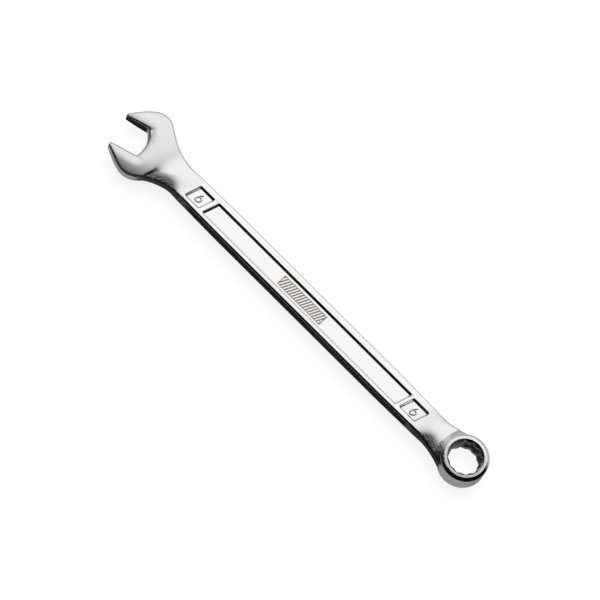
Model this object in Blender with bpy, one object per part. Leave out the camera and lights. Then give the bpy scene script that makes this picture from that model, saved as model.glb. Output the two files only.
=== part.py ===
"""Combination wrench, 6 mm: open jaws on one end, a 12-point ring on the other.

Row frame, in metres: +X runs along the shank from the open jaws to the ring, +Z is up out of
the upper panel face, and the origin is under the middle of the bounding box, on the plane that
the ring's underside stands on. The functions below work about the forging's own middle, and
add_object moves each solid from there into the row frame.

The real wrench is one drop forging. Each named section of that forging is a node of its own
here, and the plane cuts between neighbours are not seams of the real tool.
"""

import math

import bmesh
import bpy
from mathutils import Matrix, Vector

MM = 0.001

# Driving dimensions
ACROSS_FLATS = 6.1 * MM             # ring opening, flat to flat
JAW_GAP = 6.2 * MM                  # open end, contact face to contact face
SHANK_WIDTH = 6.4 * MM
SHANK_THICKNESS = 3.3 * MM
WAIST_WIDTH = 6.1 * MM              # the shank is a little narrower beside each small panel
HEAD_THICKNESS = 3.8 * MM           # in the middle of the open head
JAW_TIP_THICKNESS = 2.4 * MM
RING_DIAMETER = 9.7 * MM
RING_THICKNESS = 5.3 * MM
JAW_ANGLE = math.radians(15)        # the mouth is turned this far from the shank

# Open head, in the jaws' own axes: d runs from the tips to the ring, m is across the mouth
TIP_D = 1.1 * MM                    # jaw tips
TIP_WIDTH = 0.75 * MM               # flat end of each tip
TIP_ROUNDING = 0.35 * MM
THROAT_CORNER_D = {1: 6.35 * MM, -1: 6.95 * MM}     # for the +Y and the -Y jaw
THROAT_APEX_D = 8.06 * MM           # corner that the throat's arc rounds off
THROAT_RADIUS = 5.5 * MM
THROAT_CORNER_ROUNDING = {1: 0.5 * MM, -1: 0.35 * MM}
FLANK_D = 4.4 * MM                  # where a jaw's outer flank bends
FLANK_M = 6.5 * MM
FLANK_RADIUS = 10.0 * MM
FAR_LOBE = (8.22 * MM, 8.41 * MM, 3.3 * MM)     # d, m and rounding of the +Y shoulder
NEAR_LOBE = (7.37 * MM, 7.94 * MM, 3.8 * MM)    # the same for the -Y shoulder
HEAD_AXIS_D = 7.6 * MM              # middle of the head's dome
HEAD_REACH = 7.5 * MM               # from there to the tips and shoulders
JAW_AXIS_START = (0.56 * MM, -2.10 * MM)        # along and across, where the jaws' own axes start

# Along the shank, from the foremost jaw tip
FAR_SHOULDER_X = 13.92 * MM         # corners that the concave shoulders round off
NEAR_SHOULDER_X = 14.28 * MM
FAR_SHOULDER_RADIUS = 13.0 * MM
NEAR_SHOULDER_RADIUS = 9.5 * MM
SHANK_FULL_X = (30.0 * MM, 75.0 * MM)           # the shank has its full width between these
WAIST_X = (21.0 * MM, 84.0 * MM)
WAIST_BLEND_RADIUS = 60.0 * MM
RING_CENTRE_X = 95.35 * MM
RING_FLARE = math.radians(15.1)     # the neck's sides open by this angle to meet the ring
RING_FLARE_RADIUS = 16.0 * MM
TIP_TO_MIDDLE = 50.429 * MM         # outline start to the middle of the box, along the shank
AXIS_TO_MIDDLE = 0.129 * MM         # the shank runs this far to the +Y side of the box's middle

# Section cuts and clearances
SECTION_GAP = 0.3 * MM
JAW_CUT_D = 6.2 * MM
HEAD_CUT_X = 13.3 * MM
OPEN_NECK_CUT_X = 19.2 * MM
BOX_NECK_CUT_X = 84.9 * MM

# Edges and panels
RIM_ROUNDING = 0.3 * MM
RIM_SEGMENTS = 2
PANEL_DEPTH = 0.44 * MM
PANEL_WALL_RUN = 0.4 * MM           # how far a panel's wall leans out over its depth
PANEL_CORNER = 0.5 * MM
PANEL_CENTRE_Y = -0.25 * MM         # the panels sit a little to the -Y side
PANEL_LEAN = math.radians(16)       # the panel ends lean towards the ring on the +Y side
MAIN_PANEL = (25.5 * MM, 79.0 * MM, 4.1 * MM)   # from, to, width
OPEN_SIZE_PANEL = (20.6 * MM, 24.7 * MM, 3.9 * MM)
BOX_SIZE_PANEL = (79.55 * MM, 84.0 * MM, 3.6 * MM)

# Ring
RING_LIP_RADIUS = 4.25 * MM         # outer edge of the flat lip
RING_WALL_HEIGHT = 4.2 * MM         # straight outer wall between the two bevels
RING_MOUTH_RADIUS = 3.75 * MM       # outer edge of the lead-in chamfer
RING_POINTS = 12
FILLET_REACH = 1.6 * MM             # the neck climbs to the ring over this length
FILLET_START = 0.5 * MM             # inside the ring's edge, where that climb ends

ARC_STEP = math.radians(10)
RING_STEPS = 48
SHAPING_GRID = 1.6 * MM
OVERSHOOT = 1.0 * MM                # how far a cutter runs past what it cuts

CHROME_COLOUR = (0.80, 0.81, 0.82)
CHROME_ROUGHNESS = 0.2


def clear_scene():
    for item in list(bpy.data.objects):
        bpy.data.objects.remove(item, do_unlink=True)


def chrome(node_name):
    """A plain chrome plating of the node's own."""
    material = bpy.data.materials.new(f"{node_name}_chrome_plate")
    material.use_nodes = True
    shader = material.node_tree.nodes["Principled BSDF"]
    shader.inputs["Base Color"].default_value = (*CHROME_COLOUR, 1.0)
    shader.inputs["Metallic"].default_value = 1.0
    shader.inputs["Roughness"].default_value = CHROME_ROUGHNESS
    material.diffuse_color = (*CHROME_COLOUR, 1.0)
    return material


def add_object(name, bm):
    """Adds a solid that was made about the forging's own middle, moved into the row frame."""
    bmesh.ops.translate(bm, verts=bm.verts, vec=(0, AXIS_TO_MIDDLE, RING_THICKNESS / 2))
    mesh = bpy.data.meshes.new(name)
    bm.to_mesh(mesh)
    bm.free()
    mesh.shade_smooth()
    mesh.set_sharp_from_angle(angle=math.radians(30))
    node = bpy.data.objects.new(name, mesh)
    bpy.context.scene.collection.objects.link(node)
    mesh.materials.append(chrome(name))
    return node


def add_cutter(name, bm):
    cutter = add_object(name, bm)
    cutter.hide_render = True
    cutter.display_type = "WIRE"
    return cutter


def cut_with(node, cutter):
    """Cuts a node and shades it flat, because the cut's own edges can't be marked sharp."""
    node.data.shade_flat()
    difference = node.modifiers.new("cut", "BOOLEAN")
    difference.operation = "DIFFERENCE"
    difference.solver = "EXACT"
    difference.object = cutter


def rounded_outline(corners):
    """Points of a closed outline whose corners (x, y, radius) are rounded by tangent arcs."""
    points = []
    count = len(corners)
    for index, (x, y, radius) in enumerate(corners):
        here = Vector((x, y))
        back = (Vector(corners[index - 1][:2]) - here).normalized()
        ahead = (Vector(corners[(index + 1) % count][:2]) - here).normalized()
        turn = math.pi - back.angle(ahead)
        reach = radius * math.tan(turn / 2)
        centre = here + (back + ahead).normalized() * radius / math.cos(turn / 2)
        start = here + back * reach - centre
        side = 1 if back.cross(ahead) < 0 else -1
        steps = max(2, math.ceil(turn / ARC_STEP))
        for step in range(steps + 1):
            swing = Matrix.Rotation(side * turn * step / steps, 2)
            points.append(centre + swing @ start)
    return points


def from_jaw_axes(d, m):
    """A point given in the jaws' own axes, as (x, y) in the row frame."""
    along = Vector((math.cos(JAW_ANGLE), math.sin(JAW_ANGLE)))
    across = Vector((-math.sin(JAW_ANGLE), math.cos(JAW_ANGLE)))
    start = Vector((JAW_AXIS_START[0] - TIP_TO_MIDDLE, JAW_AXIS_START[1]))
    return start + d * along + m * across


def jaw_corner(d, m, radius):
    return (*from_jaw_axes(d, m), radius)


def shank_corner(x, y, radius):
    return (x - TIP_TO_MIDDLE, y, radius)


def flank_corners(side, lobe):
    """The throat corner, tip, flank and shoulder of one jaw, from the inside out."""
    half_gap = JAW_GAP / 2
    return [
        jaw_corner(THROAT_CORNER_D[side], side * half_gap, THROAT_CORNER_ROUNDING[side]),
        jaw_corner(TIP_D, side * half_gap, TIP_ROUNDING),
        jaw_corner(TIP_D, side * (half_gap + TIP_WIDTH), TIP_ROUNDING),
        jaw_corner(FLANK_D, side * FLANK_M, FLANK_RADIUS),
        jaw_corner(lobe[0], side * lobe[1], lobe[2]),
    ]


def shank_side(side):
    """One long side, from the waist behind the head to the ring's far end."""
    ring_radius = RING_DIAMETER / 2
    waist = side * WAIST_WIDTH / 2
    full = side * SHANK_WIDTH / 2
    ring_end = RING_CENTRE_X + ring_radius
    # The flare line touches the ring's circle, so the last corner's arc is the circle itself
    slope = math.tan(RING_FLARE)
    touch = ring_radius / math.cos(RING_FLARE)
    flare_x = RING_CENTRE_X + (WAIST_WIDTH / 2 - touch) / slope
    end_y = side * (touch + slope * ring_radius)
    return [
        shank_corner(WAIST_X[0], waist, WAIST_BLEND_RADIUS),
        shank_corner(SHANK_FULL_X[0], full, WAIST_BLEND_RADIUS),
        shank_corner(SHANK_FULL_X[1], full, WAIST_BLEND_RADIUS),
        shank_corner(WAIST_X[1], waist, WAIST_BLEND_RADIUS),
        shank_corner(flare_x, waist, RING_FLARE_RADIUS),
        shank_corner(ring_end, end_y, ring_radius),
    ]


def wrench_outline():
    """The whole wrench seen from above, without the ring's hole."""
    waist = WAIST_WIDTH / 2
    far = flank_corners(1, FAR_LOBE)
    far.append(shank_corner(FAR_SHOULDER_X, waist, FAR_SHOULDER_RADIUS))
    far.extend(shank_side(1))
    near = flank_corners(-1, NEAR_LOBE)
    near.append(shank_corner(NEAR_SHOULDER_X, -waist, NEAR_SHOULDER_RADIUS))
    near.extend(shank_side(-1))
    throat = [jaw_corner(THROAT_APEX_D, 0, THROAT_RADIUS)]
    return rounded_outline(throat + far + near[::-1])


def prism(outline, low, high):
    """A closed solid standing on an outline, between two heights."""
    bm = bmesh.new()
    bm.faces.new([bm.verts.new((x, y, low)) for x, y in outline])
    bmesh.ops.remove_doubles(bm, verts=bm.verts, dist=1e-6)
    walls = bmesh.ops.extrude_face_region(bm, geom=bm.faces[:])["geom"]
    top = [v for v in walls if isinstance(v, bmesh.types.BMVert)]
    bmesh.ops.translate(bm, verts=top, vec=(0, 0, high - low))
    bmesh.ops.recalc_face_normals(bm, faces=bm.faces)
    return bm


def keep_beyond(bm, point, normal):
    """Cuts a solid with a plane, keeps the side that normal points to, and closes the cut."""
    geometry = bm.verts[:] + bm.edges[:] + bm.faces[:]
    cut = bmesh.ops.bisect_plane(
        bm, geom=geometry, dist=1e-7, plane_co=point, plane_no=normal, clear_inner=True
    )
    rim = [e for e in cut["geom_cut"] if isinstance(e, bmesh.types.BMEdge)]
    bmesh.ops.edgeloop_fill(bm, edges=rim)
    bmesh.ops.recalc_face_normals(bm, faces=bm.faces)


def score(bm, axis, first, last, step):
    """Adds edges across the faces at even steps, so that the solid can follow a curve."""
    normal = Vector((0, 0, 0))
    normal[axis] = 1
    place = first + step
    while place < last:
        geometry = bm.verts[:] + bm.edges[:] + bm.faces[:]
        bmesh.ops.bisect_plane(bm, geom=geometry, dist=1e-7, plane_co=normal * place, plane_no=normal)
        place += step


def smooth_step(value):
    value = min(max(value, 0.0), 1.0)
    return value * value * (3 - 2 * value)


def half_height(x, y):
    """Half the forging's thickness at a place in plan."""
    place = Vector((x, y))
    shank = SHANK_THICKNESS / 2
    drop = (HEAD_THICKNESS - JAW_TIP_THICKNESS) / 2
    middle = from_jaw_axes(HEAD_AXIS_D, 0)
    dome = HEAD_THICKNESS / 2 - drop * ((place - middle).length / HEAD_REACH) ** 2
    towards_shank = smooth_step((x - middle.x) / (OPEN_NECK_CUT_X - HEAD_CUT_X))
    ring = Vector((RING_CENTRE_X - TIP_TO_MIDDLE, 0))
    fillet_end = RING_DIAMETER / 2 - FILLET_START
    climb = 1 - ((place - ring).length - fillet_end) / FILLET_REACH
    rise = RING_THICKNESS / 2 - shank
    neck = shank + rise * min(max(climb, 0.0), 1.0) ** 2
    return dome + (neck - dome) * towards_shank


def forging_section(cuts, shaped_from=None, shaped_to=None):
    """The part of the forging beyond every cut, with its edges rounded and its faces shaped."""
    half = SHANK_THICKNESS / 2
    bm = prism(wrench_outline(), -half, half)
    rim = [e for e in bm.edges if abs(e.verts[0].co.z - e.verts[1].co.z) < 1e-9]
    bmesh.ops.bevel(
        bm, geom=rim, offset=RIM_ROUNDING, offset_type="OFFSET", segments=RIM_SEGMENTS,
        profile=0.5, affect="EDGES", clamp_overlap=False, material=-1,
    )
    bmesh.ops.remove_doubles(bm, verts=bm.verts, dist=1e-6)
    for point, normal in cuts:
        keep_beyond(bm, point, normal)
    if shaped_from is not None:
        score(bm, 0, shaped_from, shaped_to, SHAPING_GRID)
        score(bm, 1, -HEAD_REACH, HEAD_REACH, SHAPING_GRID)
        for vertex in bm.verts:
            vertex.co.z *= half_height(vertex.co.x, vertex.co.y) / half
    bmesh.ops.triangulate(bm, faces=[f for f in bm.faces if len(f.verts) > 4])
    return bm


def along_x(place, direction):
    """A cut square to the shank that keeps the side towards direction."""
    return Vector((place - TIP_TO_MIDDLE, 0, 0)), Vector((direction, 0, 0))


def along_d(place, direction):
    """The same, square to the jaws' own axis."""
    point = from_jaw_axes(place, 0)
    normal = Vector((math.cos(JAW_ANGLE), math.sin(JAW_ANGLE), 0)) * direction
    return point.to_3d(), normal


def across_m(direction):
    """A cut down the middle of the mouth that keeps one jaw."""
    point = from_jaw_axes(0, 0)
    normal = Vector((-math.sin(JAW_ANGLE), math.cos(JAW_ANGLE), 0)) * direction
    return point.to_3d(), normal


def panel_outline(panel, grow):
    """A panel's slanted outline, grown by a margin on every side."""
    start, end, width = panel
    half = width / 2 + grow
    lean = half * math.tan(PANEL_LEAN)
    margin = grow / math.cos(PANEL_LEAN)
    low = PANEL_CENTRE_Y - half
    high = PANEL_CENTRE_Y + half
    corner = PANEL_CORNER + grow
    left = start - margin
    right = end + margin
    return rounded_outline([
        shank_corner(left - lean, low, corner),
        shank_corner(left + lean, high, corner),
        shank_corner(right + lean, high, corner),
        shank_corner(right - lean, low, corner),
    ])


def panel_cutter(name, panel, face_side):
    """A tapered block that sinks one panel into the upper (1) or lower (-1) face."""
    face = SHANK_THICKNESS / 2
    slope = PANEL_WALL_RUN / PANEL_DEPTH
    floor = panel_outline(panel, -PANEL_WALL_RUN)
    mouth = panel_outline(panel, slope * OVERSHOOT)
    bm = bmesh.new()
    loops = []
    for outline, height in ((floor, face - PANEL_DEPTH), (mouth, face + OVERSHOOT)):
        ring = [bm.verts.new((x, y, face_side * height)) for x, y in outline]
        bm.faces.new(ring)
        loops.extend(bm.edges.get((ring[i - 1], ring[i])) for i in range(len(ring)))
    bmesh.ops.bridge_loops(bm, edges=loops)
    bmesh.ops.recalc_face_normals(bm, faces=bm.faces)
    return add_cutter(name, bm)


def turned(profile, centre_x):
    """A solid of revolution about a vertical line; profile runs (radius, height), closed."""
    bm = bmesh.new()
    verts = [bm.verts.new((radius, 0, height)) for radius, height in profile]
    edges = [bm.edges.new((verts[i - 1], verts[i])) for i in range(len(verts))]
    bmesh.ops.spin(
        bm, geom=verts + edges, cent=(0, 0, 0), axis=(0, 0, 1), angle=2 * math.pi,
        steps=RING_STEPS, use_merge=True,
    )
    bmesh.ops.remove_doubles(bm, verts=bm.verts, dist=1e-7)
    bmesh.ops.recalc_face_normals(bm, faces=bm.faces)
    bmesh.ops.translate(bm, verts=bm.verts, vec=(centre_x, 0, 0))
    return bm


def ring_bar():
    """The box end before broaching: a stout ring, bevelled outside and chamfered inside."""
    top = RING_THICKNESS / 2
    wall = RING_WALL_HEIGHT / 2
    outer = RING_DIAMETER / 2
    bore = ACROSS_FLATS / 2 - SECTION_GAP
    step = RING_MOUTH_RADIUS - bore
    upper = [(bore, top - step), (RING_MOUTH_RADIUS, top), (RING_LIP_RADIUS, top), (outer, wall)]
    lower = [(radius, -height) for radius, height in reversed(upper)]
    return turned(upper + lower, RING_CENTRE_X - TIP_TO_MIDDLE)


def star_outline(across_flats):
    """Two hexagons turned 30 degrees, with an inner ridge on the shank's own line."""
    tip = across_flats / math.sqrt(3)
    ridge = across_flats / 2 / math.cos(math.pi / RING_POINTS)
    centre = RING_CENTRE_X - TIP_TO_MIDDLE
    points = []
    for index in range(2 * RING_POINTS):
        angle = index * math.pi / RING_POINTS
        radius = tip if index % 2 else ridge
        points.append((centre + radius * math.cos(angle), radius * math.sin(angle)))
    return points


def build_jaws():
    jaw_end = along_d(JAW_CUT_D, -1)
    # left and right as seen from the ring, looking towards the jaws
    for name, side in (("right_jaw", 1), ("left_jaw", -1)):
        shaped = forging_section([jaw_end, across_m(side)], -TIP_TO_MIDDLE, HEAD_CUT_X - TIP_TO_MIDDLE)
        add_object(name, shaped)


def build_open_head():
    cuts = [along_d(JAW_CUT_D + SECTION_GAP, 1), along_x(HEAD_CUT_X, -1)]
    shaped = forging_section(cuts, -TIP_TO_MIDDLE, HEAD_CUT_X - TIP_TO_MIDDLE)
    add_object("open_end_head", shaped)


def build_open_neck():
    cuts = [along_x(HEAD_CUT_X + SECTION_GAP, 1), along_x(OPEN_NECK_CUT_X, -1)]
    shaped = forging_section(cuts, HEAD_CUT_X - TIP_TO_MIDDLE, OPEN_NECK_CUT_X - TIP_TO_MIDDLE)
    add_object("open_end_neck", shaped)


def build_shank():
    cuts = [along_x(OPEN_NECK_CUT_X + SECTION_GAP, 1), along_x(BOX_NECK_CUT_X, -1)]
    shank = add_object("shank", forging_section(cuts))
    panels = {"main": MAIN_PANEL, "open_size": OPEN_SIZE_PANEL, "box_size": BOX_SIZE_PANEL}
    for label, panel in panels.items():
        for face_side, face in ((1, "upper"), (-1, "lower")):
            cut_with(shank, panel_cutter(f"cutter_{label}_{face}", panel, face_side))


def build_box_neck():
    cuts = [along_x(BOX_NECK_CUT_X + SECTION_GAP, 1), along_x(RING_CENTRE_X, -1)]
    end = RING_CENTRE_X - TIP_TO_MIDDLE
    shaped = forging_section(cuts, BOX_NECK_CUT_X - TIP_TO_MIDDLE, end)
    neck = add_object("box_end_neck", shaped)
    reach = RING_DIAMETER / 2 + SECTION_GAP
    height = RING_THICKNESS / 2 + OVERSHOOT
    profile = [(0, height), (reach, height), (reach, -height), (0, -height)]
    cut_with(neck, add_cutter("cutter_ring_clearance", turned(profile, end)))


def build_ring():
    ring = add_object("box_end_ring", ring_bar())
    height = RING_THICKNESS / 2 + OVERSHOOT
    star = prism(star_outline(ACROSS_FLATS), -height, height)
    cut_with(ring, add_cutter("cutter_twelve_point", star))


def build_wrench():
    clear_scene()
    build_jaws()
    build_open_head()
    build_open_neck()
    build_shank()
    build_box_neck()
    build_ring()


build_wrench()
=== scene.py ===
import math

import bmesh
import bpy
import numpy as np
from mathutils import Matrix, Vector


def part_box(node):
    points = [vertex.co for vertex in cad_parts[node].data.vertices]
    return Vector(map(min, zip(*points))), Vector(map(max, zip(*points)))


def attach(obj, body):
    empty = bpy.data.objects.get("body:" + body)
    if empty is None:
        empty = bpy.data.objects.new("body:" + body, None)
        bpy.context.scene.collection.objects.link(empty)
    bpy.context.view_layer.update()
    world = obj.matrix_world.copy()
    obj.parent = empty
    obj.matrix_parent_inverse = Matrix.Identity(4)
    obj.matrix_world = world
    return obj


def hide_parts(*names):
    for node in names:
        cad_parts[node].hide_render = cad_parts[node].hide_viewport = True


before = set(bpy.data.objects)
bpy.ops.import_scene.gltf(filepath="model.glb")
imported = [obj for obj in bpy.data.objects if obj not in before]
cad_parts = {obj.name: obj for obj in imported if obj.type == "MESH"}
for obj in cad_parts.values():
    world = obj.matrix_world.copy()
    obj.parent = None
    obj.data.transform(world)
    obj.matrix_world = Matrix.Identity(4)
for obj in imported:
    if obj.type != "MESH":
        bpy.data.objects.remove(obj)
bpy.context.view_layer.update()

# The forging is made in millimetres: x runs from the jaw tips to the ring, y is 0 on the shank's
# own line and z is 0 at half its thickness. placeOfForging then puts it where the CAD nodes are.
ringLow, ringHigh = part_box("box_end_ring")
shankLow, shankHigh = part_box("shank")
ringMiddle = (ringLow + ringHigh) / 2
ringX = 95.35
ringRadius = (ringHigh.x - ringLow.x) * 500
ringTop = (ringHigh.z - ringLow.z) * 500
shankHalf = (shankHigh.y - shankLow.y) * 500
shankTop = (shankHigh.z - shankLow.z) * 500
placeOfForging = (
    Matrix.Translation((ringMiddle.x - ringX / 1000, ringMiddle.y, ringMiddle.z)) @ Matrix.Scale(0.001, 4)
)

head = {
    "jawAngle": math.radians(15),
    "jawAxisStart": (0.56, -2.10),
    "halfGap": 3.1,
    "tip": (1.1, 0.75, 0.35),             # how far along the jaws, flat width, rounding
    "throatCorners": {1: (6.35, 0.5), -1: (6.95, 0.35)},    # on each side: along, rounding
    "throatApex": (8.06, 5.5),
    "flank": (4.4, 6.5, 10.0),            # along, across, rounding
    "farLobe": (8.22, 8.40, 3.3),
    "nearLobe": (7.37, 7.93, 3.8),
    "shoulders": ((13.92, 13.0), (14.28, 9.5)),
    "middle": 7.6,                        # centre of the dome, along the jaws
    "top": 1.9,
    "reach": 7.5,                         # from that centre to the tips and shoulders
    "dome": 0.22,
    "edgeRoll": (2.2, 7.5, 0.54, 2.1),    # from, to, drop, how steeply
    "mouthRoll": (2.3, 0.34),             # reach, drop
    "throatFloor": (7.56, 0.058),         # its deepest point, and how fast it comes forward
    "crease": (12.0, -5.0, 0.235),        # a point on the step behind the head, and its slope
    "creaseWidth": (0.35, 5.5, -3.6, 4.2),    # at the -Y edge, growth, where it grows, over how far
    "creaseLead": 0.35,                   # share of its width that lies on the head's side
}
shankShape = {
    "waist": 3.05,
    "waistAt": (21.0, 84.0),
    "fullAt": (30.0, 75.0),
    "blend": 60.0,
    "flareFrom": 88.0,
    "flare": math.radians(15.1),
    "flareRounding": 16.0,
    "rimRounding": 0.4,
    "crown": (0.66, 0.5),                 # how far the necks' edges drop, on the -Y and +Y side
    "crownEnds": (20.2, 84.6, 4.0),       # where the crown fades out, and over what length
    "headWidening": (19.0, 0.05),         # where the neck starts to widen, and how fast
    "insideRing": 0.997,                  # the sides end just inside the ring's wall
    "ringOverlap": 0.85,                  # width of the end that the ring swallows
    "climb": 1.6,                         # length over which the neck rises to the ring
    "climbEnd": 0.5,
    "belowRing": 0.03,                    # the neck stops this far under the ring's face
}
grid = {
    "step": 0.15,
    "headEnd": 20.6,
    "ringStart": 84.2,
    "halfWidth": 7.5,
    "offset": 0.0137,                     # keeps the cuts off the outline's own corners
    "tolerance": 1e-4,
}
arcStep = math.radians(4)
arcLength = 0.45                          # the longest straight piece of a rounding


def fromJawAxes(d, m):
    c, s = math.cos(head["jawAngle"]), math.sin(head["jawAngle"])
    x0, y0 = head["jawAxisStart"]
    return x0 + d * c - m * s, y0 + d * s + m * c


def toJawAxes(x, y):
    c, s = math.cos(head["jawAngle"]), math.sin(head["jawAngle"])
    x0, y0 = head["jawAxisStart"]
    return (x - x0) * c + (y - y0) * s, (y - y0) * c - (x - x0) * s


def ease(value):
    value = np.clip(value, 0.0, 1.0)
    return value * value * (3 - 2 * value)


def roundCorner(bm, vert, radius):
    ways = [(e.other_vert(vert).co - vert.co).normalized() for e in vert.link_edges]
    turn = math.pi - ways[0].angle(ways[1])
    bmesh.ops.bevel(
        bm, geom=[vert], offset=radius * math.tan(turn / 2), offset_type="OFFSET",
        segments=max(2, math.ceil(turn / arcStep), math.ceil(turn * radius / arcLength)),
        profile=0.5, affect="VERTICES",
        clamp_overlap=False, material=-1,
    )


def roundedFace(corners, height):
    bm = bmesh.new()
    verts = [bm.verts.new((x, y, height)) for x, y, _ in corners]
    bm.faces.new(verts)
    for vert, corner in zip(verts, corners):
        if corner[2]:
            roundCorner(bm, vert, corner[2])
    if bm.faces[:][0].normal.z < 0:
        bmesh.ops.reverse_faces(bm, faces=bm.faces[:])
    return bm


def extrudeBy(bm, distance):
    made = bmesh.ops.extrude_face_region(bm, geom=bm.faces[:])["geom"]
    moved = [g for g in made if isinstance(g, bmesh.types.BMVert)]
    bmesh.ops.translate(bm, verts=moved, vec=(0, 0, distance))
    bmesh.ops.recalc_face_normals(bm, faces=bm.faces[:])


def jawCorners(side, lobe):
    tipD, tipWidth, tipRounding = head["tip"]
    throatD, throatRounding = head["throatCorners"][side]
    gap = side * head["halfGap"]
    spots = [
        (throatD, gap, throatRounding),
        (tipD, gap, tipRounding),
        (tipD, gap + side * tipWidth, tipRounding),
        (head["flank"][0], side * head["flank"][1], head["flank"][2]),
        (lobe[0], side * lobe[1], lobe[2]),
    ]
    return [(*fromJawAxes(d, m), r) for d, m, r in spots]


def sideCorners(side, shoulder):
    s = shankShape
    waist = side * s["waist"]
    reach = ringRadius * s["insideRing"]
    return [
        (shoulder[0], waist, shoulder[1]),
        (s["waistAt"][0], waist, s["blend"]),
        (s["fullAt"][0], side * shankHalf, s["blend"]),
        (s["fullAt"][1], side * shankHalf, s["blend"]),
        (s["waistAt"][1], waist, s["blend"]),
        (s["flareFrom"], waist, s["flareRounding"]),
        (ringX - reach * math.sin(s["flare"]), side * reach * math.cos(s["flare"]), 0),
        (ringX, side * reach * s["ringOverlap"], 0),
    ]


def gridCuts(bm):
    # Rows of edges for the sculpting; the shank stays in long strips
    zones = [(0, grid["headEnd"]), (grid["ringStart"], ringX)]
    cuts = [(0, x) for start, end in zones for x in np.arange(start, end, grid["step"])]
    cuts += [(1, y) for y in np.arange(-grid["halfWidth"], grid["halfWidth"], grid["step"])]
    for axis, place in cuts:
        normal = Vector((0, 0, 0))
        normal[axis] = 1
        bmesh.ops.bisect_plane(
            bm, geom=bm.verts[:] + bm.edges[:] + bm.faces[:], dist=grid["tolerance"],
            plane_co=normal * (place + grid["offset"]), plane_no=normal,
        )


def headHeight(x, y):
    h = head
    d, m = toJawAxes(x, y)
    rho = np.hypot(d - h["middle"], m)
    rollFrom, rollTo, rollDrop, steepness = h["edgeRoll"]
    roll = rollDrop * np.clip((rho - rollFrom) / (rollTo - rollFrom), 0, 1.1) ** steepness
    deepest, forward = h["throatFloor"]
    throatD = deepest - forward * np.clip(m, -h["halfGap"], h["halfGap"]) ** 2
    toMouth = np.hypot(np.maximum(np.abs(m) - h["halfGap"], 0), np.maximum(d - throatD, 0))
    reach, drop = h["mouthRoll"]
    mouth = drop * np.clip(1 - toMouth / reach, 0, 1) ** 2
    return h["top"] - h["dome"] * (rho / h["reach"]) ** 2 - roll - mouth


def neckHeight(x, y):
    s = shankShape
    widenFrom, widenBy = s["headWidening"]
    halfWidth = s["waist"] + widenBy * np.maximum(widenFrom - x, 0) ** 2
    halfWidth = halfWidth + math.tan(s["flare"]) * np.maximum(x - s["flareFrom"], 0)
    out = np.clip(np.abs(y) / halfWidth, 0, 1)
    openEnd, ringEnd, fade = s["crownEnds"]
    here = ease((openEnd - x) / fade) + ease((x - ringEnd) / fade)
    neck = shankTop - np.where(y < 0, *s["crown"]) * out ** 2 * here
    fromRing = np.hypot(x - ringX, y) - (ringRadius - s["climbEnd"])
    climb = np.clip(1 - fromRing / s["climb"], 0, 1)
    return neck + (ringTop - s["belowRing"] - neck) * climb ** 2


def halfHeight(x, y):
    # Half the forging's thickness everywhere in plan
    creaseX, creaseY, slope = head["crease"]
    narrow, growth, growFrom, growOver = head["creaseWidth"]
    width = narrow + growth * ease((y - growFrom) / growOver)
    back = (x - (creaseX + (y - creaseY) * slope - head["creaseLead"] * width)) / width
    dome, neck = headHeight(x, y), neckHeight(x, y)
    return dome + (neck - dome) * ease(back)


def forgingBody():
    s = shankShape
    corners = [(*fromJawAxes(head["throatApex"][0], 0), head["throatApex"][1])]
    corners += jawCorners(1, head["farLobe"]) + sideCorners(1, head["shoulders"][0])
    near = jawCorners(-1, head["nearLobe"]) + sideCorners(-1, head["shoulders"][1])
    corners += near[::-1]
    bm = roundedFace(corners, -shankTop)
    extrudeBy(bm, 2 * shankTop)
    flat, inside = 1e-6, ringX - 0.01
    rim = [e for e in bm.edges if abs(e.verts[0].co.z - e.verts[1].co.z) < flat]
    rim = [e for e in rim if min(v.co.x for v in e.verts) < inside]
    bmesh.ops.bevel(
        bm, geom=rim, offset=s["rimRounding"], offset_type="OFFSET", segments=5, profile=0.5,
        affect="EDGES", clamp_overlap=False, material=-1,
    )
    bmesh.ops.remove_doubles(bm, verts=bm.verts[:], dist=grid["tolerance"])
    gridCuts(bm)
    place = np.array([v.co for v in bm.verts])
    rise = halfHeight(place[:, 0], place[:, 1]) / shankTop
    for vert, factor in zip(bm.verts, rise):
        vert.co.z *= factor
    bmesh.ops.recalc_face_normals(bm, faces=bm.faces[:])
    return bm


ring = {
    "lipRadius": 4.22,
    "wallHalf": 2.1,
    "mouthRadius": 3.75,
    "dishRadius": 2.5,
    "acrossFlats": 6.1,
    "points": 12,
    "steps": 180,
    "edge": 0.07,
    "edgeShape": (0.25, 0.9, 0.1),        # how the soft edges are shared out between their points
    "discTurn": math.radians(0.6),        # so that no chamfer edge meets a point of the bore
    "trimTurn": math.radians(0.83),
    "trimSteps": 90,
    "margin": 1.0,                        # how far a cutter runs past the ring's faces
    "tolerance": 1e-5,
}


def turned(profile, steps):
    # A solid of revolution about the ring's own middle; the profile starts and ends on the axis
    bm = bmesh.new()
    verts = [bm.verts.new((radius, 0, z)) for radius, z in profile]
    edges = [bm.edges.new(pair) for pair in zip(verts, verts[1:])]
    bmesh.ops.spin(
        bm, geom=verts + edges, cent=(0, 0, 0), axis=(0, 0, 1), angle=2 * math.pi, steps=steps,
        use_merge=True,
    )
    bmesh.ops.remove_doubles(bm, verts=bm.verts[:], dist=ring["tolerance"])
    bmesh.ops.recalc_face_normals(bm, faces=bm.faces[:])
    return bm


def addShape(target, bm):
    mesh = bpy.data.meshes.new("part")
    bm.to_mesh(mesh)
    bm.free()
    target.from_mesh(mesh)
    bpy.data.meshes.remove(mesh)


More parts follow.
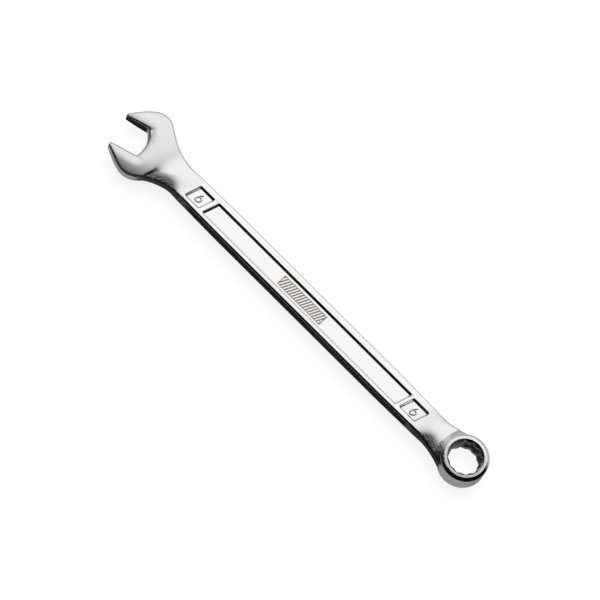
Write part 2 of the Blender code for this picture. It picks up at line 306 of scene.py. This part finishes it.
def ringDisc():
    # A disc with the ring's outside and both lead-in chamfers; the bore goes through it later
    top, wall, outer, lip = ringTop, ring["wallHalf"], ringRadius, ring["lipRadius"]
    soft, mouth, inner = ring["edge"], ring["mouthRadius"], ring["dishRadius"]
    little, most, least = (soft * share for share in ring["edgeShape"])
    upper = [
        (0, top - (mouth - inner)), (inner, top - (mouth - inner)), (mouth, top),
        (lip - soft, top), (lip, top - little), (lip + soft, top - soft),
        (outer - soft, wall + most), (outer - little, wall + least), (outer, wall - soft),
    ]
    lower = [(radius, -z) for radius, z in reversed(upper)]
    bm = turned(upper + lower, ring["steps"])
    bmesh.ops.rotate(bm, verts=bm.verts[:], matrix=Matrix.Rotation(ring["discTurn"], 3, "Z"))
    bmesh.ops.translate(bm, verts=bm.verts[:], vec=(ringX, 0, 0))
    return bm


def neckTrim():
    # Takes the neck's end out of the ring, back to the middle of the ring's wall
    radius, height = (ring["mouthRadius"] + ring["lipRadius"]) / 2, ringTop + ring["margin"]
    profile = [(0, height), (radius, height), (radius, -height), (0, -height)]
    bm = turned(profile, ring["trimSteps"])
    bmesh.ops.rotate(bm, verts=bm.verts[:], matrix=Matrix.Rotation(ring["trimTurn"], 3, "Z"))
    bmesh.ops.translate(bm, verts=bm.verts[:], vec=(ringX, 0, 0))
    return bm


def starBore():
    # Two hexagons turned 30 degrees: a prism whose every second corner is drawn in
    bm = bmesh.new()
    corners = 2 * ring["points"]
    tip = ring["acrossFlats"] / math.sqrt(3)
    ridge = ring["acrossFlats"] / 2 / math.cos(2 * math.pi / corners)
    bmesh.ops.create_circle(bm, cap_ends=True, radius=tip, segments=corners)
    for vert in bm.verts:
        turn = round(math.atan2(vert.co.y, vert.co.x) * corners / (2 * math.pi))
        if turn % 2 == 0:
            vert.co *= ridge / tip
    height = ringTop + ring["margin"]
    bmesh.ops.translate(bm, verts=bm.verts[:], vec=(ringX, 0, -height))
    extrudeBy(bm, 2 * height)
    return bm


panels = {
    "main": (25.5, 79.0, 4.1),            # from, to, width
    "openSize": (20.6, 24.7, 3.9),
    "boxSize": (79.55, 84.0, 3.6),
    "middleY": -0.25,
    "lean": math.radians(16),
    "corner": (0.42, 0.14),               # rounding at the mouth, rounding at the floor
    "wall": [(0.04, 0.01), (0.04, 0.04), (0.24, 0.30), (0.05, 0.05), (0.06, 0.03), (0.04, 0.01)],
    "over": 0.6,
}


def panelFace(panel, inset, rounding):
    start, end, width = panels[panel]
    half = width / 2 - inset
    lean = half * math.tan(panels["lean"])
    start, end = (place + way * inset / math.cos(panels["lean"]) for place, way in ((start, 1), (end, -1)))
    low, high = panels["middleY"] - half, panels["middleY"] + half
    corners = [(end - lean, low), (end + lean, high), (start + lean, high), (start - lean, low)]
    return roundedFace([(*corner, rounding) for corner in corners], shankTop + panels["over"])


def panelCutter(panel, side):
    # The wall goes down in steps of (inwards, downwards): soft lip, slope, soft foot
    run = sum(inwards for inwards, _ in panels["wall"])
    floorFace = panelFace(panel, run, panels["corner"][1])
    floorSpots = [v.co.copy() for v in floorFace.faces[:][0].verts]
    floorFace.free()
    mouthFace = panelFace(panel, 0, panels["corner"][0])
    mouthSpots = [v.co.copy() for v in mouthFace.faces[:][0].verts]
    mouthFace.free()
    bm = bmesh.new()
    height, done, above = shankTop + panels["over"], 0.0, None
    for inwards, down in [(0, 0), (0, panels["over"])] + panels["wall"]:
        height -= down
        done += inwards
        spots = [mouth.lerp(floor, done / run) for mouth, floor in zip(mouthSpots, floorSpots)]
        verts = [bm.verts.new((spot.x, spot.y, height)) for spot in spots]
        edges = [bm.edges.new((verts[i - 1], verts[i])) for i in range(len(verts))]
        if above:
            bmesh.ops.bridge_loops(bm, edges=above + edges)
        above = edges
    bmesh.ops.holes_fill(bm, edges=[e for e in bm.edges if e.is_boundary])
    if side < 0:
        bmesh.ops.scale(bm, verts=bm.verts[:], vec=(1, 1, -1))
    bmesh.ops.recalc_face_normals(bm, faces=bm.faces[:])
    return bm


def panelCutters():
    together = bmesh.new()
    for panel in ("main", "openSize", "boxSize"):
        for side in (1, -1):
            addShape(together, panelCutter(panel, side))
    return together


numerals = {
    "height": 2.1,
    # radius, centre, start, sweep in degrees, thickness
    "bowlStroke": (0.56, 0.0, 0, 360, 0.19),
    "tailStroke": (1.7, 1.17, 180, -48, 0.16),
    "sides": 12,
    "stepDegrees": 8,
    "fewestSteps": 8,
    "slant": 0.2,
    "places": ((22.75, -0.35), (81.95, -0.35)),
    "tolerance": 1e-5,
}


def numeralStroke(radius, centreX, start, sweep, thick, place, side):
    # One rounded stroke of a plain six: a full turn for the bowl, part of a turn for the tail
    n = numerals
    bm = bmesh.new()
    section = bmesh.ops.create_circle(bm, radius=thick, segments=n["sides"])["verts"]
    bmesh.ops.rotate(bm, verts=section, matrix=Matrix.Rotation(math.pi / 2, 3, "X"))
    bmesh.ops.translate(bm, verts=section, vec=(radius, 0, 0))
    bmesh.ops.rotate(bm, verts=section, matrix=Matrix.Rotation(math.radians(start), 3, "Z"))
    bmesh.ops.translate(bm, verts=section, vec=(centreX, 0, 0))
    bmesh.ops.spin(
        bm, geom=bm.verts[:] + bm.edges[:], cent=(centreX, 0, 0), axis=(0, 0, 1),
        angle=math.radians(sweep), steps=max(n["fewestSteps"], abs(sweep) // n["stepDegrees"]),
        use_merge=sweep == 360,
    )
    bmesh.ops.remove_doubles(bm, verts=bm.verts[:], dist=n["tolerance"])
    bmesh.ops.holes_fill(bm, edges=[e for e in bm.edges if e.is_boundary])
    bowlRadius, *_, bowlThick = n["bowlStroke"]
    slant = Matrix.Identity(4)
    slant[0][1] = n["slant"]
    lower = Matrix.Translation((0, bowlRadius + bowlThick - n["height"] / 2, 0))
    bmesh.ops.transform(bm, matrix=slant @ lower, verts=bm.verts[:])
    floorZ = shankTop - sum(down for _, down in panels["wall"])
    bmesh.ops.translate(bm, verts=bm.verts[:], vec=(*place, floorZ))
    if side < 0:
        turn = Matrix.Rotation(math.pi, 3, "X")
        bmesh.ops.rotate(bm, verts=bm.verts[:], cent=(*place, 0), matrix=turn)
    bmesh.ops.recalc_face_normals(bm, faces=bm.faces[:])
    return bm


def numeralStrokes(stroke):
    together = bmesh.new()
    for place in numerals["places"]:
        for side in (1, -1):
            addShape(together, numeralStroke(*numerals[stroke], place, side))
    return together


def asObject(name, bm):
    mesh = bpy.data.meshes.new(name)
    bm.to_mesh(mesh)
    bm.free()
    made = bpy.data.objects.new(name, mesh)
    bpy.context.scene.collection.objects.link(made)
    return made


def joinShapes(target, steps):
    # Adds or cuts each shape in turn, then keeps the result as the target's own mesh
    helpers = []
    for operation, name, bm in steps:
        helper = asObject(name, bm)
        helpers.append(helper)
        modifier = target.modifiers.new(name, "BOOLEAN")
        modifier.operation = operation
        modifier.solver = "EXACT"
        modifier.object = helper
    depsgraph = bpy.context.evaluated_depsgraph_get()
    mesh = bpy.data.meshes.new_from_object(target.evaluated_get(depsgraph))
    target.modifiers.clear()
    target.data = mesh
    for helper in helpers:
        bpy.data.objects.remove(helper, do_unlink=True)


shading = {
    "sharpFrom": math.radians(32),
    "faceWeight": 80,
}


def makeWrench():
    wrench = asObject("wrench", forgingBody())
    print("forging body", len(wrench.data.polygons))
    joinShapes(wrench, [
        ("DIFFERENCE", "neckTrim", neckTrim()),
        ("UNION", "ringDisc", ringDisc()),
        ("DIFFERENCE", "panels", panelCutters()),
        ("UNION", "bowls", numeralStrokes("bowlStroke")),
        ("UNION", "tails", numeralStrokes("tailStroke")),
        ("DIFFERENCE", "bore", starBore()),
    ])
    print("ring, panels and numerals", len(wrench.data.polygons))
    bm = bmesh.new()
    bm.from_mesh(wrench.data)
    bmesh.ops.remove_doubles(bm, verts=bm.verts[:], dist=grid["tolerance"])
    bmesh.ops.triangulate(bm, faces=[f for f in bm.faces if len(f.verts) > 4])
    bmesh.ops.transform(bm, matrix=placeOfForging, verts=bm.verts[:])
    bmesh.ops.recalc_face_normals(bm, faces=bm.faces[:])
    bm.to_mesh(wrench.data)
    bm.free()
    wrench.data.shade_smooth()
    wrench.data.set_sharp_from_angle(angle=shading["sharpFrom"])
    weighted = wrench.modifiers.new("faceWeights", "WEIGHTED_NORMAL")
    weighted.mode = "FACE_AREA"
    weighted.weight = shading["faceWeight"]
    weighted.keep_sharp = True
    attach(wrench, "root")
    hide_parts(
        "right_jaw", "left_jaw", "open_end_head", "open_end_neck", "shank", "box_end_neck",
        "box_end_ring",
    )
    return wrench


# Ramps are given as (from, to), with the value rising from 0 to 1 on the way
chrome = {
    "colour": (0.93, 0.93, 0.925),
    "satinColour": (0.80, 0.80, 0.795),
    "polish": 0.09,
    "satin": 0.28,
    "headFades": (17.5, 11.5),            # the satin head gives way to the polished shank
    "wallFrom": (0.35, 0.12),             # how level a face still counts as a side wall
    "foot": (1.0, 1.4, 0.4),              # the low edge of the walls: ramp and strength
    "headSatin": 0.75,
    "neckSatin": 0.45,
    "diffuse": (0.05, 0.75),              # share on satin faces, and what walls add
    "bore": ((4.0, 3.9), (90.0, 90.5), 0.05),      # round the ring's middle, along x, relief
    "contactMargin": (0.3, 0.1),
    "contactEnds": (6.3, 5.7),
    "contactRelief": 0.10,
}
# The necks' rough forging skin (roughness and relief), with painted shade in the dark colour of its pits
forgingSkinAndShade = {
    "noise": (2.6, 6.0, 0.68, 0.6),       # scale, detail, roughness, distortion
    "openNeck": ((10.5, 12.0), (23.0, 19.0)),
    "ringNeck": ((82.0, 84.5), (93.5, 92.5)),
    "sloping": (0.995, 0.94),
    "nearSide": (0.4, -1.6),
    "clearOfRing": (-0.1, 0.3),
    "satinLost": 0.85,
    "pits": (0.46, 0.56, 0.65),           # ramp and strength of the dark pits, painted shade on the necks' near side
    # the pits' dark colour, painted shade that darkens the near side's reflection
    "pitShadeColour": (0.13, 0.13, 0.13),
    "roughness": 0.06,
    "relief": 0.12,
}
wear = {
    "grain": (9.0, 4.0, 0.6),             # scale, detail, roughness
    "grainShade": (0.35, 0.75, 0.12),
    "grainColour": (0.55, 0.55, 0.55),
    "grainRelief": 0.004,
    "broad": (0.45, 2.0),
    "broadRoughness": (0.35, 0.7, 0.03),
    "broadRelief": 0.012,
    "swirls": (((250, 4200, 4200), 0.12, (0.62, 0.70)), ((300, 3600, 3600), -0.2, (0.64, 0.72))),
    "patchy": (0.6, 2.0, (0.45, 0.65)),   # where the first swirls show: noise and ramp
    "secondSwirl": 0.7,
    "scratchRoughness": 0.06,
    "scratchRelief": -0.0008,
}
etch = {
    "middle": (51.1, -0.3),
    "halfLength": (5.85, 5.75),
    "halfHeight": (1.22, 1.17),
    "lean": -0.45,
    "linesPerMm": 1.6,
    "line": (0.30, 0.24),
    "borderX": (5.58, 5.64),
    "borderY": (1.02, 1.06),
    "speckle": (14.0, 2.0, (0.30, 0.42, 0.55, 1.0)),   # noise, and its ramp with both ends
    "colour": (0.30, 0.24, 0.19),
    "diffuse": 0.6,
    "roughness": 0.35,
}


def addNode(nodes, kind, **settings):
    made = nodes.new(kind)
    for name, value in settings.items():
        setattr(made, name, value)
    return made


def addRamp(nodes, links, value, low, high, outLow=0.0, outHigh=1.0):
    made = addNode(nodes, "ShaderNodeMapRange", interpolation_type="SMOOTHSTEP")
    links.new(value, made.inputs["Value"])
    for name, number in (("From Min", low), ("From Max", high), ("To Min", outLow), ("To Max", outHigh)):
        made.inputs[name].default_value = number
    return made.outputs["Result"]


def chromeMaterial():
    material = bpy.data.materials.new("chromePlate")
    material.use_nodes = True
    nodes, links = material.node_tree.nodes, material.node_tree.links
    shader = nodes["Principled BSDF"]

    def math2(operation, a, b=0.0, clamp=False):
        made = addNode(nodes, "ShaderNodeMath", operation=operation, use_clamp=clamp)
        for socket, value in zip(made.inputs, (a, b)):
            if isinstance(value, bpy.types.NodeSocket):
                links.new(value, socket)
            else:
                socket.default_value = value
        return made.outputs[0]

    def ramp(value, *limits):
        return addRamp(nodes, links, value, *limits)

    def noise(vector, scale, detail=3.0, roughness=0.5, distortion=0.0):
        made = addNode(nodes, "ShaderNodeTexNoise")
        links.new(vector, made.inputs["Vector"])
        made.inputs["Scale"].default_value = scale
        made.inputs["Detail"].default_value = detail
        made.inputs["Roughness"].default_value = roughness
        made.inputs["Distortion"].default_value = distortion
        return made.outputs["Fac"]

    def placed(location, scale, turn=0.0):
        made = addNode(nodes, "ShaderNodeMapping", vector_type="POINT")
        links.new(coordinates, made.inputs["Vector"])
        made.inputs["Location"].default_value = location
        made.inputs["Scale"].default_value = scale
        made.inputs["Rotation"].default_value = (0, 0, turn)
        return made.outputs["Vector"]

    def blend(factor, first, second):
        made = addNode(nodes, "ShaderNodeMix", data_type="RGBA")
        links.new(factor, made.inputs["Factor"])
        for name, value in (("A", first), ("B", second)):
            socket = [s for s in made.inputs if s.name == name and s.type == "RGBA"][0]
            if isinstance(value, bpy.types.NodeSocket):
                links.new(value, socket)
            else:
                socket.default_value = (*value, 1.0)
        return [s for s in made.outputs if s.type == "RGBA"][0]

    def times(first, *others):
        for other in others:
            first = math2("MULTIPLY", first, other)
        return first

    def without(value, mask):
        return times(value, math2("SUBTRACT", 1.0, mask))

    coordinates = addNode(nodes, "ShaderNodeTexCoord").outputs["Object"]
    # In the material, positions are millimetres in the forging's own frame
    local = placed(tuple(-1000 * v for v in placeOfForging.translation), (1000, 1000, 1000))
    axes = addNode(nodes, "ShaderNodeSeparateXYZ")
    links.new(local, axes.inputs[0])
    x, y, z = axes.outputs
    facing = addNode(nodes, "ShaderNodeSeparateXYZ")
    links.new(addNode(nodes, "ShaderNodeNewGeometry").outputs["Normal"], facing.inputs[0])
    level = math2("ABSOLUTE", facing.outputs[2])
    wall = ramp(level, *chrome["wallFrom"])

    # Zones of finish: satin head, satin ring wall, bare contact faces, the rest polished
    headZone = ramp(x, *chrome["headFades"])
    ringwards = math2("POWER", math2("SUBTRACT", x, ringX), 2)
    fromRing = math2("SQRT", math2("ADD", ringwards, math2("POWER", y, 2)))
    ringWall = times(ramp(fromRing, ringRadius - 0.15, ringRadius - 0.08), wall)
    ringWall = times(ringWall, ramp(fromRing, ringRadius + 0.5, ringRadius + 0.1))
    footFrom, footTo, footSatin = chrome["foot"]
    foot = times(ramp(math2("ABSOLUTE", z), footFrom, footTo), times(wall, footSatin))
    turnX, turnY = math.cos(head["jawAngle"]), math.sin(head["jawAngle"])
    startX, startY = head["jawAxisStart"]
    pastX, pastY = math2("SUBTRACT", x, startX), math2("SUBTRACT", y, startY)
    along = math2("ADD", times(pastX, turnX), times(pastY, turnY))
    aside = math2("SUBTRACT", times(pastY, turnX), times(pastX, turnY))
    gapEdges = (head["halfGap"] + margin for margin in chrome["contactMargin"])
    contact = times(ramp(math2("ABSOLUTE", aside), *gapEdges), wall)
    contact = times(contact, ramp(along, *chrome["contactEnds"]))
    headWall = without(times(headZone, wall), contact)
    boreRound, boreAlong, boreRelief = chrome["bore"]
    bore = times(ramp(fromRing, *boreRound), ramp(x, *boreAlong))
    satin = math2("MAXIMUM", times(headZone, chrome["headSatin"]), ringWall)
    satin = math2("MAXIMUM", satin, math2("MAXIMUM", headWall, foot), clamp=True)
    satin = without(satin, contact)

    grain = noise(local, *wear["grain"])
    broad = noise(local, *wear["broad"])
    patchScale, patchDetail, patchRamp = wear["patchy"]
    swirls = []
    for scale, turn, edges in wear["swirls"]:
        swirls.append(ramp(noise(placed((0, 0, 0), scale, turn), 1.0, 2.0), *edges))
    scratch = times(swirls[0], ramp(noise(local, patchScale, patchDetail), *patchRamp))
    scratch = math2("MAXIMUM", scratch, times(swirls[1], wear["secondSwirl"]))

    # The forging's rough skin shows through the plating on the necks' near side; the dark colour of its
    # pits there is painted shade
    skinAndShade = forgingSkinAndShade
    pits = noise(local, *skinAndShade["noise"])
    necks = [times(ramp(x, *start), ramp(x, *end)) for start, end in (skinAndShade["openNeck"], skinAndShade["ringNeck"])]
    necks = math2("MAXIMUM", *necks)
    satin = math2("MAXIMUM", satin, times(necks, chrome["neckSatin"]))
    ringEdge = (ringRadius + margin for margin in skinAndShade["clearOfRing"])
    roughSkinAndShade = times(necks, ramp(level, *skinAndShade["sloping"]), ramp(fromRing, *ringEdge))
    roughSkinAndShade = times(roughSkinAndShade, ramp(y, *skinAndShade["nearSide"]))
    satin = without(satin, times(roughSkinAndShade, skinAndShade["satinLost"]))

    # Hatched, laser-etched patch in the middle of the main panel
    across = math2("ABSOLUTE", math2("SUBTRACT", x, etch["middle"][0]))
    up = math2("ABSOLUTE", math2("SUBTRACT", y, etch["middle"][1]))
    patch = times(ramp(across, *etch["halfLength"]), ramp(up, *etch["halfHeight"]))
    hatch = times(math2("ADD", x, times(y, etch["lean"])), etch["linesPerMm"])
    hatch = math2("ABSOLUTE", math2("SUBTRACT", math2("FRACT", hatch), 0.5))
    border = math2("MAXIMUM", ramp(across, *etch["borderX"]), ramp(up, *etch["borderY"]), clamp=True)
    etched = times(patch, math2("MAXIMUM", ramp(hatch, *etch["line"]), border))
    speckScale, speckDetail, speckRamp = etch["speckle"]
    etched = times(etched, ramp(noise(local, speckScale, speckDetail), *speckRamp))

    shadeFrom, shadeTo, shadeBy = wear["grainShade"]
    pitFrom, pitTo, pitBy = skinAndShade["pits"]
    colour = blend(satin, chrome["colour"], chrome["satinColour"])
    colour = blend(times(ramp(grain, shadeFrom, shadeTo, 0.0, shadeBy), satin), colour, wear["grainColour"])
    # Dark pits on the necks' near, sloping faces: painted shade that darkens their reflection
    colour = blend(times(roughSkinAndShade, ramp(pits, pitFrom, pitTo, 0.0, pitBy)), colour, skinAndShade["pitShadeColour"])
    colour = blend(etched, colour, etch["colour"])
    links.new(colour, shader.inputs["Base Color"])

    onSatin, onWalls = chrome["diffuse"]
    metal = math2("SUBTRACT", 1.0, times(satin, math2("ADD", onSatin, times(wall, onWalls))))
    metal = math2("SUBTRACT", metal, times(etched, etch["diffuse"]), clamp=True)
    links.new(metal, shader.inputs["Metallic"])

    broadFrom, broadTo, broadBy = wear["broadRoughness"]
    roughness = math2("ADD", chrome["polish"], times(satin, chrome["satin"] - chrome["polish"]))
    roughness = math2("ADD", roughness, times(scratch, wear["scratchRoughness"]))
    roughness = math2("ADD", roughness, times(ramp(broad, broadFrom, broadTo), broadBy))
    roughness = math2("ADD", roughness, times(roughSkinAndShade, skinAndShade["roughness"]))
    roughness = math2("ADD", roughness, times(etched, etch["roughness"]), clamp=True)
    links.new(roughness, shader.inputs["Roughness"])

    height = times(broad, wear["broadRelief"])
    for relief, strength in (
        (times(grain, satin), wear["grainRelief"]),
        (scratch, wear["scratchRelief"]),
        (times(pits, roughSkinAndShade), skinAndShade["relief"]),
        (times(pits, bore), boreRelief),
        (times(pits, contact), chrome["contactRelief"]),
    ):
        height = math2("ADD", height, times(relief, strength))
    bump = addNode(nodes, "ShaderNodeBump")
    bump.inputs["Strength"].default_value = 1.0
    bump.inputs["Distance"].default_value = 0.001
    links.new(height, bump.inputs["Height"])
    links.new(bump.outputs["Normal"], shader.inputs["Normal"])
    return material


stageLook = {
    "floor": 0.25,
    "floorGlow": 0.86,
    "cardsInChrome": (0.008, 0.45),       # the dark card in front of the wrench, the pale one behind
    "cardsMeet": (0.004, 0.008),          # where, in metres along y, one card gives way to the other
    "floorSize": 3.0,
    "floorFinish": (0.9, 0.1),            # roughness and specular level
    "brightSide": (-0.25, 0.55, 0.80),    # where the big soft light stands
    "backSide": (-0.42, 0.91, 0.0),
    "skyFrom": 0.71,
    "skyTo": 0.985,
    "skyLeast": 0.004,
    "skyPower": 1.02,
    "backFade": (0.15, 0.65),
    "backCard": 0.62,                     # brightness of the pale card low on the bright side
    "farDim": (0.80, 0.93, 0.40),         # where the light fades towards the far horizon, and by how much
    "sun": 1.2,
    "sunSpread": math.radians(70),
    "sunTurn": (math.radians(-18), math.radians(-10), 0),
}


def makeStage():
    bm = bmesh.new()
    bmesh.ops.create_grid(bm, x_segments=1, y_segments=1, size=stageLook["floorSize"])
    floor = asObject("floor", bm)
    material = bpy.data.materials.new("paperFloor")
    material.use_nodes = True
    nodes, links = material.node_tree.nodes, material.node_tree.links
    shader = nodes["Principled BSDF"]
    floorRoughness, floorSpecular = stageLook["floorFinish"]
    shader.inputs["Roughness"].default_value = floorRoughness
    shader.inputs["Specular IOR Level"].default_value = floorSpecular
    # Chrome sees a dark card on the near side and a pale one on the far side
    axes = addNode(nodes, "ShaderNodeSeparateXYZ")
    links.new(addNode(nodes, "ShaderNodeTexCoord").outputs["Object"], axes.inputs[0])
    cards = addRamp(nodes, links, axes.outputs[1], *stageLook["cardsMeet"], *stageLook["cardsInChrome"])
    path = addNode(nodes, "ShaderNodeLightPath")

    def seenInChrome(plain, card):
        mix = addNode(nodes, "ShaderNodeMix", data_type="FLOAT")
        links.new(path.outputs["Is Glossy Ray"], mix.inputs[0])
        mix.inputs[2].default_value = plain
        if card is None:
            mix.inputs[3].default_value = 0
        else:
            links.new(card, mix.inputs[3])
        return mix.outputs[0]

    links.new(seenInChrome(stageLook["floor"], None), shader.inputs["Base Color"])
    shader.inputs["Emission Color"].default_value = (1, 1, 1, 1)
    links.new(seenInChrome(stageLook["floorGlow"], cards), shader.inputs["Emission Strength"])
    # From underneath the floor is clear, so that the wrench can be looked at from there
    under = addNode(nodes, "ShaderNodeMixShader")
    links.new(addNode(nodes, "ShaderNodeNewGeometry").outputs["Backfacing"], under.inputs[0])
    links.new(shader.outputs[0], under.inputs[1])
    links.new(addNode(nodes, "ShaderNodeBsdfTransparent").outputs[0], under.inputs[2])
    links.new(under.outputs[0], nodes["Material Output"].inputs["Surface"])
    floor.data.materials.append(material)


def makeLight():
    world = bpy.data.worlds.new("studio")
    bpy.context.scene.world = world
    world.use_nodes = True
    nodes, links = world.node_tree.nodes, world.node_tree.links
    background = nodes["Background"]
    direction = addNode(nodes, "ShaderNodeTexCoord").outputs["Generated"]

    def towards(way):
        made = addNode(nodes, "ShaderNodeVectorMath", operation="DOT_PRODUCT")
        links.new(direction, made.inputs[0])
        made.inputs[1].default_value = Vector(way).normalized()
        return made.outputs["Value"]

    def combined(operation, first, second):
        made = addNode(nodes, "ShaderNodeMath", operation=operation)
        links.new(first, made.inputs[0])
        links.new(second, made.inputs[1])
        return made.outputs[0]

    look = stageLook
    backwards = towards(look["backSide"])
    high = addRamp(
        nodes, links, towards(look["brightSide"]), look["skyFrom"], look["skyTo"],
        look["skyLeast"], look["skyPower"],
    )
    low = addRamp(nodes, links, backwards, *look["backFade"], 0.0, look["backCard"])
    dimFrom, dimTo, dimBy = look["farDim"]
    dim = addRamp(nodes, links, backwards, dimFrom, dimTo, 1.0, 1 - dimBy)
    sky = combined("MULTIPLY", combined("MAXIMUM", high, low), dim)
    links.new(sky, background.inputs["Color"])

    sun = bpy.data.lights.new("softSun", "SUN")
    sun.energy = stageLook["sun"]
    sun.angle = stageLook["sunSpread"]
    lamp = bpy.data.objects.new("softSun", sun)
    bpy.context.scene.collection.objects.link(lamp)
    lamp.rotation_euler = stageLook["sunTurn"]
    lamp.visible_glossy = False


view = {
    "azimuth": math.radians(17.9),
    "elevation": math.radians(69.1),
    "roll": math.radians(28.0),
    "distance": 1.0,
    "field": 0.1170,
    "sensor": 36,
    "clip": (0.05, 20),
    "middleX": 50.45,                     # mm along the forging
    "aim": (-0.45, 0.0, 0.0),             # mm from the middle of the wrench
    "shift": (0.338, -0.540),             # mm to the right and up, as the camera sees it
}


def makeCamera():
    az, el, roll = view["azimuth"], view["elevation"], view["roll"]
    back = Vector((math.sin(az) * math.cos(el), -math.cos(az) * math.cos(el), math.sin(el)))
    level = Vector((math.cos(az), math.sin(az), 0))
    tilted = back.cross(level)
    right = level * math.cos(roll) + tilted * math.sin(roll)
    up = back.cross(right)
    data = bpy.data.cameras.new("camera")
    data.sensor_width = view["sensor"]
    data.lens = view["sensor"] * view["distance"] / view["field"]
    data.clip_start, data.clip_end = view["clip"]
    camera = bpy.data.objects.new("camera", data)
    bpy.context.scene.collection.objects.link(camera)
    middle = Vector((ringMiddle.x - (ringX - view["middleX"]) / 1000, ringMiddle.y, ringMiddle.z))
    sideways, upwards = view["shift"]
    target = middle + Vector(view["aim"]) / 1000 + (right * sideways + up * upwards) / 1000
    turn = Matrix((right, up, back)).transposed().to_4x4()
    camera.matrix_world = Matrix.Translation(target + back * view["distance"]) @ turn
    bpy.context.scene.camera = camera


wrench = makeWrench()
wrench.data.materials.clear()
wrench.data.materials.append(chromeMaterial())
print("chrome")
makeStage()
makeLight()
makeCamera()
bpy.context.scene.view_settings.view_transform = "Standard"
print("stage, light and camera")
